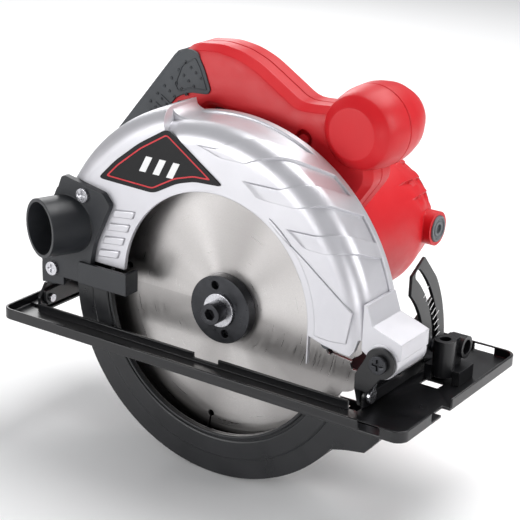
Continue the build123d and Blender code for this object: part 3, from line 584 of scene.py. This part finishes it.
def inset(points, by):
    """The outline moved inwards by a distance, or outwards if it is negative."""
    size = len(points)
    area = sum(points[i - 1][0] * points[i][1] - points[i][0] * points[i - 1][1] for i in range(size))
    side = 1 if area > 0 else -1
    out = []
    for i in range(size):
        p, q, n = Vector(points[i - 1]), Vector(points[i]), Vector(points[(i + 1) % size])
        a, b = (q - p).normalized(), (n - q).normalized()
        na, nb = Vector((-a.y, a.x)) * side, Vector((-b.y, b.x)) * side
        middle = (na + nb).normalized()
        out.append(tuple(q + middle * (by / max(middle.dot(na), 0.3))))
    return out


def corners(points, radius, steps=4):
    """The outline with its corners rounded."""
    out = []
    size = len(points)
    for i in range(size):
        p, q, n = Vector(points[i - 1]), Vector(points[i]), Vector(points[(i + 1) % size])
        back, ahead = (p - q), (n - q)
        cut = min(radius, back.length * 0.45, ahead.length * 0.45)
        a, b = q + back.normalized() * cut, q + ahead.normalized() * cut
        for k in range(steps + 1):
            t = k / steps
            out.append(tuple(a * (1 - t) ** 2 + q * 2 * t * (1 - t) + b * t * t))
    return out


# ---------------------------------------------------------------- upper guard details
GUARD_X, GUARD_Z, GUARD_R = SPINDLE.x / MM - 6.0, SPINDLE.z / MM + 1.6, 107.5
FACE_Y, SHOULDER = -18.0, 12.0
FACE_SHARE = 0.42  # part of a guard line that lies on the face
BAR_LIFT, BAR_FADE, BAR_EDGE = 1.6, 0.16, 0.035  # height, and the shares of length and width where it rises
BAR_ROWS, BAR_COLUMNS = 44, 16
BAR_END = 131.4
# Upper and lower line of each raised bar.
BARS = {
    "top": ([(-14, 129), (85, 97), (61, BAR_END)], [(0, 125), (73, 96), (52, BAR_END)]),
    "middle": ([(16, 115), (59, 96), (45, BAR_END)], [(26, 107), (50, 96), (38, BAR_END)]),
    "low": ([(46, 94), (40, 96), (30, BAR_END)], [(58, 86), (33, 96), (25, BAR_END)]),
}
# Section of the lip along the rim's far edge, as (reach, height).
LIP = [(131.0, -0.3), (131.2, 0.9), (131.8, 1.4), (135.2, 1.4), (135.8, 0.9), (135.84, -0.3)]
LIP_START, LIP_TURN, LIP_STEPS = 107.5, 110.5, 120
# Control points of the scoop's curve.
SCOOP = [Vector((-37.2, 144.3)), Vector((-34.0, 137.6)), Vector((-22.0, 139.2))]
WINDOW_X, WINDOW_Z, WINDOW_R = 2.2, 40.5, 67.5


def on_guard(angle, reach, lift):
    """Point above the guard's skin.

    reach runs out from the guard's centre over the near face, round the shoulder and back over the rim.
    """
    corner = GUARD_R - SHOULDER
    turn = SHOULDER * math.pi / 2
    if reach < corner:
        r, y, nr, ny = reach, FACE_Y, 0.0, -1.0
    elif reach < corner + turn:
        a = (reach - corner) / SHOULDER
        nr, ny = math.sin(a), -math.cos(a)
        r, y = corner + SHOULDER * nr, FACE_Y + SHOULDER + SHOULDER * ny
    else:
        r, y, nr, ny = GUARD_R, FACE_Y + SHOULDER + reach - corner - turn, 1.0, 0.0
    r, y = r + lift * nr, y + lift * ny
    a = math.radians(angle)
    return at(GUARD_X + r * math.cos(a), y, GUARD_Z + r * math.sin(a))


def along_line(line, t):
    """Point of a guard line as (angle, reach), for t from 0 to 1.

    A line has a start point on the face in millimetres, and then a shoulder point and an end point as
    (angle, reach). It is straight up to the shoulder, and curves slightly from there over the rim.
    """
    (x0, z0), (turn, reach), (end, back) = line
    if t < FACE_SHARE:
        k = t / FACE_SHARE
        x1 = GUARD_X + reach * math.cos(math.radians(turn))
        z1 = GUARD_Z + reach * math.sin(math.radians(turn))
        x, z = x0 + (x1 - x0) * k - GUARD_X, z0 + (z1 - z0) * k - GUARD_Z
        return math.degrees(math.atan2(z, x)), math.hypot(x, z)
    k = (t - FACE_SHARE) / (1 - FACE_SHARE)
    return turn + (end - turn) * (1.15 * k - 0.15 * k * k), reach + (back - reach) * k


def ease(t):
    t = min(max(t, 0.0), 1.0)
    return t * t * (3 - 2 * t)


def guard_bar(name, upper, lower):
    """Bar between two guard lines, which rises out of the face and has soft edges."""
    top, bottom = [], []
    for i in range(BAR_ROWS + 1):
        t = i / BAR_ROWS
        a, b = along_line(upper, t), along_line(lower, t)
        line, under = [], []
        for j in range(BAR_COLUMNS + 1):
            v = ease(j / BAR_COLUMNS)
            height = (0.3 + BAR_LIFT) * ease(min(v, 1 - v) / BAR_EDGE) * ease(t / BAR_FADE)
            angle, reach = a[0] + (b[0] - a[0]) * v, a[1] + (b[1] - a[1]) * v
            line.append(on_guard(angle, reach, height - 0.3))
            under.append(on_guard(angle, reach, -1.0))
        top.append(line)
        bottom.append(under)
    finish_piece(grid_solid(name, top, bottom), "cast_silver", "saw")


def guard_lip():
    top, bottom = [], []
    for i in range(LIP_STEPS + 1):
        angle = LIP_START - LIP_TURN * i / LIP_STEPS
        top.append([on_guard(angle, reach, height) for reach, height in LIP])
        bottom.append([on_guard(angle, reach, -1.2) for reach, _ in LIP])
    finish_piece(grid_solid("guard_lip", top, bottom), "cast_silver", "saw")


def guard_scoop():
    """Smooth hollow between the rear part's step and the front rim."""
    a, b, c = SCOOP
    curve = [tuple(a * (1 - t) ** 2 + b * 2 * t * (1 - t) + c * t * t) for t in [k / 12 for k in range(13)]]
    scoop = slab("guard_scoop", curve + [(-22.0, 137.0), (-39.5, 133.0), (-39.5, 143.6)], (-7.5, 15.9))
    finish_piece(scoop, "cast_silver", "saw", edge=1.2)


def guard_panel():
    """Raised panel in front of the window, with a sloping upper edge."""
    turns = [math.radians(a) for a in range(58, -4, -4)]
    window = [(WINDOW_X + WINDOW_R * math.cos(a), WINDOW_Z + WINDOW_R * math.sin(a)) for a in turns]
    panel = window + [(71.0, 37.5), (80.0, 37.0), (90.0, 38.0), (93.0, 56.5), (61.5, 79.5), (38.5, 95.0)]
    piece = slab("guard_panel", panel, (FACE_Y - 0.8, FACE_Y + 0.6))
    finish_piece(piece, "cast_silver", "saw", edge=0.75)


def guard_ribs():
    for k in range(4):
        x, z = -67.5 - 3.6 * k, 79.5 - 8.8 * k
        rib = [(x, z), (x + 14.6, z + 1.8), (x + 13.0, z - 3.2), (x - 1.8, z - 5.0)]
        piece = slab(f"guard_rib_{k + 1}", rib, (FACE_Y - 1.2, FACE_Y + 0.6))
        finish_piece(piece, "cast_silver", "saw", edge=0.7)


def guard_details():
    for name, (upper, lower) in BARS.items():
        guard_bar(f"guard_bar_{name}", upper, lower)
    guard_lip()
    guard_scoop()
    guard_panel()
    guard_ribs()


# ---------------------------------------------------------------- lower guard, scale and brush caps
GUARD_RINGS = {
    "step": [(77.5, -11.5), (77.5, -12.6), (78.3, -13.1), (88.2, -13.1), (89.2, -12.5), (89.6, -11.5)],
    "lip": [(74.1, -11.5), (74.1, -13.6), (74.6, -14.1), (75.5, -14.1), (76.0, -13.6), (76.3, -11.5)],
}
RING_START, RING_END = 157.0, 331.5
TICKS, TICK_FIRST, TICK_STEP, TICK_HALF = 11, 8.0, 4.0, 0.16
TICK_INNER, TICK_OUTER, TICK_LONG = 61.6, 66.6, 69.0
# Section of a brush cap as (radius, distance past its outer face).
BRUSH_CAP = [
    (0, -4.6), (8.2, -4.6), (8.2, -0.5), (7.7, 0.0), (6.6, 0.0), (6.2, -0.8), (4.9, -0.8), (4.5, -0.15),
    (2.9, -0.15), (2.6, -1.9), (0, -1.9),
]


def lower_guard_rings():
    """Stepped ring and window lip on the near side of the swinging guard."""
    for name, profile in GUARD_RINGS.items():
        ring = spun(
            f"lower_guard_{name}", profile, SPINDLE.x / MM, SPINDLE.z / MM,
            steps=150, start=RING_START, end=RING_END,
        )
        finish_piece(ring, "black_casting", "swing_guard")


def quadrant_ticks():
    """Scale marks on the front face of the bevel quadrant, along rays from the tilt axis."""
    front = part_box("bevel_quadrant")[1].x / MM
    tilt = next(j for j in RECORD["behaviour"]["joints"] if j["name"] == "bevel_tilt")
    axis_y, axis_z = (tilt["pos_m"][1] - BLADE_Y) / MM, tilt["pos_m"][2] / MM
    faces = [(0, 1, 2, 3), (7, 6, 5, 4)] + [(i, (i + 1) % 4, 4 + (i + 1) % 4, 4 + i) for i in range(4)]
    for k in range(TICKS):
        angle = math.radians(TICK_FIRST + TICK_STEP * k)
        outer = TICK_LONG if k % 5 == 0 else TICK_OUTER
        c, w = math.cos(angle), math.sin(angle)
        ends = ((TICK_INNER, -1), (outer, -1), (outer, 1), (TICK_INNER, 1))
        marks = [(r * c - side * TICK_HALF * w, r * w + side * TICK_HALF * c) for r, side in ends]
        points = [at(x, axis_y + y, axis_z + z) for x in (front + 0.06, front - 0.2) for y, z in marks]
        tick = shape(f"quadrant_tick_{k + 1}", points, faces)
        finish_piece(tick, "badge_white", "base")


def brush_cap(side, middle, reach):
    """One cap, turned from the Y axis to face along X."""
    cap = spun("cap", BRUSH_CAP, 0.0, 0.0, steps=64)
    for vertex in cap.data.vertices:
        p = vertex.co - Vector((0, BLADE_Y, 0))
        vertex.co = Vector((middle.x + side * (reach * MM + p.y), middle.y + p.x, middle.z + p.z))
    if side < 0:
        cap.data.flip_normals()
    return cap


def brush_cap_looks():
    """Round caps with a raised ring and a round recess, one at each end of the brushes' axis."""
    low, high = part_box("brush_caps")
    middle = (low + high) / 2
    reach = (high.x - middle.x) / MM
    both = brush_cap(-1, middle, reach)
    combine(both, brush_cap(1, middle, reach), "UNION")
    both.name = "brush_caps_looks"
    finish_piece(both, "grey_plastic", "saw", ["brush_caps"], edge=0.15)


# ---------------------------------------------------------------- badge
BADGE = [
    (-31, 134.5), (7.5, 108.8), (-12, 107.8), (-24, 104.2), (-40, 95.2), (-80.0, 96.2), (-67.5, 109),
    (-51, 122.2),
]


def badge():
    y = FACE_Y - 0.8
    raised = (y - 0.15, y + 0.1)
    plate = slab("badge_looks", corners(BADGE, 4.0), (y, FACE_Y - 0.02))
    finish_piece(plate, "badge", "saw", ["badge_plate"], edge=0.2)
    line = slab("badge_outline", corners(inset(BADGE, 2.6), 2.0), raised, corners(inset(BADGE, 3.4), 1.6))
    finish_piece(line, "badge_red", "saw")
    for k in range(3):
        x = -50 + 9.5 * k
        mark = [(x, 106.5), (x + 4.4, 106.5), (x + 9.2, 116.0), (x + 4.8, 116.0)]
        finish_piece(slab(f"badge_mark_{k + 1}", mark, raised), "badge_white", "saw")


# ---------------------------------------------------------------- handle
def grip_line(along, off):
    """Point along the grip's slanted axis and off it."""
    return -25.0 - 0.64 * along + 0.768 * off, 149.0 - 0.768 * along - 0.64 * off


HANDLE = [
    (54, 86), (72, 112), (66, 141), (50, 151), (36, 149.2), (23.5, 148.6), (9, 157.5), (-5.7, 166.4),
    (-18.1, 170.9), (-32.8, 172.8), (-51.1, 170.7), (-57.4, 165.5), (-91, 122.8), (-106, 104), (-112, 90),
    (-109, 77), (-97, 67), (-60, 52), (-20, 40), (18.9, 59.4),
]
OPENING = [
    grip_line(17, 0), grip_line(58, 0), (-72, 90), (-62, 82), (-23, 71), (-12, 92), (4, 103), (12, 112),
    (14, 120), (4, 130), (-10, 134.5),
]
GRIP_MID, GRIP_HALF = 43.0, 16.0
# Front knob: its axis, and the near and far half of its section as (radius, y).
POMMEL, POMMEL_SCALE = (64.0, 141.0), 0.985
POMMEL_NEAR = [
    (14.5, 19.5), (15.3, 19.9), (20.4, 24.4), (21.0, 25.2), (22.6, 31.0), (23.8, 38.0), (24.0, 42.3),
    (23.6, 42.85),
]
POMMEL_FAR = [
    (23.6, 43.15), (24.0, 43.7), (24.0, 51.0), (23.4, 55.0), (21.6, 62.5), (17.2, 71.5), (13.0, 75.4),
    (8.0, 76.4),
]
SCREW_RECESS = (29.0, 130.0)


def handle_half(name, side, nodes):
    """One clamshell: the near or far half, with faceted edges and a fine parting step."""
    outer, middle = GRIP_MID + side * GRIP_HALF, GRIP_MID + side * 0.15
    steps = [
        (outer, 7.5), (outer - side * 1.6, 3.4), (outer - side * 7.0, 0.0),
        (middle + side * 0.5, 0.0), (middle, 0.5),
    ]
    work = bmesh.new()
    caps = []
    for raw, way, radius in ((HANDLE, 1, 5.0), (OPENING, -0.6, 3.5)):
        rings = []
        for y, by in steps:
            line = corners(inset(raw, way * by), radius, 3)
            rings.append([work.verts.new(at(x, y, z)) for x, z in line])
        size = len(rings[0])
        for low, high in zip(rings, rings[1:]):
            for j in range(size):
                i = (j + 1) % size
                work.faces.new((low[j], low[i], high[i], high[j]))
        for k in (0, -1):
            loop = [work.edges.get((rings[k][j], rings[k][(j + 1) % size])) for j in range(size)]
            caps.append((k, loop))
    for end in (0, -1):
        edges = [e for k, loop in caps if k == end for e in loop]
        bmesh.ops.triangle_fill(work, use_beauty=True, edges=edges)
    bmesh.ops.recalc_face_normals(work, faces=work.faces)
    mesh = bpy.data.meshes.new(name)
    work.to_mesh(mesh)
    work.free()
    piece = place(mesh, name)
    profile = POMMEL_NEAR if side < 0 else POMMEL_FAR
    knob = [(r * POMMEL_SCALE, y) for r, y in profile] + [(0.0, profile[-1][1]), (0.0, profile[0][1])]
    combine(piece, spun(name + "_knob", knob, *POMMEL, steps=72), "UNION")
    if side < 0:
        ring = [(2.9, outer - 1), (5.6, outer - 1), (5.6, outer + 5.0), (2.9, outer + 3.2)]
        combine(piece, spun(name + "_recess", ring, *SCREW_RECESS, steps=40), "DIFFERENCE")
    return finish_piece(piece, "red_plastic", "saw", nodes, edge=0.45)


GRIP_EDGE = [
    (-44.5, 167.5), (-39.3, 159.1), (-34.3, 146.8), (-36.4, 144.0), (-48.7, 143.2), (-57.9, 139.2), (-66, 130),
    (-80, 112), (-92, 97), (-103, 93), (-108.5, 98), (-104, 106), (-91, 122.0), (-57.4, 164.6), (-52, 168.6),
]
GRIP_STRAP = [
    (-57.4, 166.6), (-60.4, 163.6), (-94, 121.0), (-109.5, 101.5), (-106.5, 100.5), (-91, 121.4),
    (-56.0, 165.4),
]
GRIP_SKIN, GRIP_PROUD = 1.5, 0.9
DOT = (0.35, 0.95)  # inner and outer radius of a grip ring


def grip_pad():
    near, far = GRIP_MID - GRIP_HALF - GRIP_PROUD, GRIP_MID + GRIP_HALF + GRIP_PROUD
    edge = corners(GRIP_EDGE, 3.0)
    piece = slab("grip_pad_looks", edge, (near, near + GRIP_SKIN))
    combine(piece, slab("grip_far", edge, (far - GRIP_SKIN, far)), "UNION")
    combine(piece, slab("grip_strap", GRIP_STRAP, (near + 0.4, far - 0.4)), "UNION")
    finish_piece(piece, "rubber", "saw", ["grip_pad"], edge=0.6)
    return near, far


def grip_dots(side, low, high):
    """Rows of small raised rings on the upper part of a grip side."""
    inner, outer = DOT
    profile = [(inner, low), (outer, low), (outer, high), (inner, high)]
    dots = []
    for row in range(6):
        for k in range(4):
            x = -52.0 - 5.0 * row + 3.6 * k
            z = 160.5 - 6.0 * row - 2.6 * k + 0.5 * row
            if x > -41.0 - 4.2 * row * 0.6 or z < 146.0 - row * 4.0:
                continue
            dots.append(spun(f"dot_{side}_{row}_{k}", profile, x, z, steps=20))
    return dots


def grip_ribs(side, low, high):
    """Short slanted ribs down the lower part of a grip side."""
    ribs = []
    for k in range(9):
        x, z = -69.0 - 3.9 * k, 138.5 - 5.0 * k
        rib = [(x, z), (x + 12.0, z - 7.4), (x + 11.0, z - 9.0), (x - 1.0, z - 1.6)]
        ribs.append(slab(f"grip_rib_{side}_{k}", rib, (low, high)))
    return ribs


def grip():
    """Rubber skin with rings, ribs and a contour line on each side."""
    near, far = grip_pad()
    for side, face, way in (("near", near, 1), ("far", far, -1)):
        low, high = sorted((face - 0.45 * way, face + 0.3 * way))
        for raised in grip_dots(side, low, high) + grip_ribs(side, low, high):
            finish_piece(raised, "rubber", "saw")
        contour = inset(GRIP_EDGE[:6] + [(-62, 146), (-56.5, 160.0)], 2.2)
        line = slab(f"grip_line_{side}", corners(contour, 2.0), (low, high), corners(inset(contour, 0.7), 1.7))
        finish_piece(line, "rubber", "saw")


# ---------------------------------------------------------------- motor housing
CASE_R, CASE_FRONT, CASE_MOUTH = 43.5, 36.0, 33.0
# Each scallop has the end of its turn in degrees and the y where it starts.
SCALLOPS = [(84, 104.0), (63, 106.0), (43.5, 96.0), (28.5, 103.0), (11.5, 112.0), (-6, 116.0)]
SCALLOP_TURN, SCALLOP_DEPTH, SCALLOP_RISE = 15.0, 3.4, 26.0
SCALLOP_FLOOR = 36.4  # smallest radius that a scallop cuts to
UNCUT_R, UNCUT_Y = 42.0, 130  # points inside this radius and before this y aren't cut
CASE_TAIL = [
    (43.0, 115.0), (42.2, 118.5), (41.2, 122.0), (40.1, 126.0), (39.2, 130.0), (38.4, 133.5), (37.6, 135.6),
    (36.6, 136.0),
]
CASE_INSIDE = [(CASE_MOUTH, 136.0), (CASE_MOUTH, 130.0), (40.0, 110.0), (40.0, CASE_FRONT)]
BRUSH_Y = 125.0
BOSS_R, BOSS_INNER, BOSS_OUTER = 10.6, 30.0, 47.5
BORE_R, BORE_MIDDLE, BORE_LENGTH = 8.3, 38.0, 24


def housing_cut(angle, r, y):
    """Stepped finger scallops that deepen towards the motor's tail."""
    if r < UNCUT_R and y < UNCUT_Y:
        return 0.0
    depth = 0.0
    for edge, start in SCALLOPS:
        if edge - SCALLOP_TURN <= angle <= edge:
            share = (angle - (edge - SCALLOP_TURN)) / SCALLOP_TURN
            depth = max(depth, SCALLOP_DEPTH * share ** 1.4 * ease((y - start) / SCALLOP_RISE))
    return min(depth, max(r - SCALLOP_FLOOR, 0.0))


def rod_x(name, radius, length, middle):
    """Round tool along X, to add a boss or to cut a bore."""
    work = bmesh.new()
    bmesh.ops.create_cone(
        work, cap_ends=True, segments=64, radius1=radius * MM, radius2=radius * MM, depth=length * MM,
    )
    bmesh.ops.rotate(work, verts=work.verts, cent=(0, 0, 0), matrix=Matrix.Rotation(math.pi / 2, 3, "Y"))
    bmesh.ops.translate(work, verts=work.verts, vec=middle)
    mesh = bpy.data.meshes.new(name)
    work.to_mesh(mesh)
    work.free()
    return place(mesh, name)


def motor_case():
    x, z = MOTOR.x / MM, MOTOR.z / MM
    outside = [(CASE_R, CASE_FRONT + 4.0 * k) for k in range(15)]
    outside += [(CASE_R, 94.0 + 3.0 * k) for k in range(7)]
    piece = spun(
        "motor_housing_looks", outside + CASE_TAIL + CASE_INSIDE, x, z,
        steps=360, shape_of=housing_cut, start=-180, end=180,
    )
    for side in (-1, 1):
        boss_at = at(x + side * (BOSS_INNER + BOSS_OUTER) / 2, BRUSH_Y, z)
        combine(piece, rod_x("boss", BOSS_R, BOSS_OUTER - BOSS_INNER, boss_at), "UNION")
        bore_at = at(x + side * BORE_MIDDLE, BRUSH_Y, z)
        combine(piece, rod_x("bore", BORE_R, BORE_LENGTH, bore_at), "DIFFERENCE")
    finish_piece(piece, "red_plastic", "saw", ["motor_housing"], edge=0.5)


# ---------------------------------------------------------------- everything together
# CAD nodes that keep their shape, with the width of their rounded edges in millimetres.
SOFTENED = {
    "upper_guard": 0.5, "base_plate": 0.45, "bevel_quadrant": 0.35, "rear_hinge_bracket": 0.4,
    "tilt_bracket": 0.4, "guide_holder": 0.6, "dust_adapter": 0.8, "lower_guard": 0.6, "outer_flange": 0.35,
    "blade_bolt": 0.3, "blade_washer": 0.2, "end_cap": 0.6, "adapter_screws": 0.25, "depth_pivot_screw": 0.3,
    "guard_bumper": 0.5, "handle_screws": 0.3, "depth_clamp_lever": 0.7, "bevel_clamp_lever": 0.7,
    "gear_case": 0.5, "trigger": 0.8, "lock_off_button": 0.5, "cord_inlet": 0.6, "spindle_lock_button": 0.4,
    "depth_arc": 0.3,
}


def dress_pieces():
    MATERIALS["badge_red"] = badge_red()
    MATERIALS["badge_white"] = badge_white()
    for node, edge in SOFTENED.items():
        softened(node, edge)
    guard_details()
    lower_guard_rings()
    quadrant_ticks()
    brush_cap_looks()
    badge()
    handle_half("handle_right_looks", -1, ["handle_shell_right"])
    handle_half("handle_left_looks", 1, ["handle_shell_left"])
    grip()
    motor_case()


add_camera()
add_studio()
dress_nodes()
dress_pieces()
add_floor()
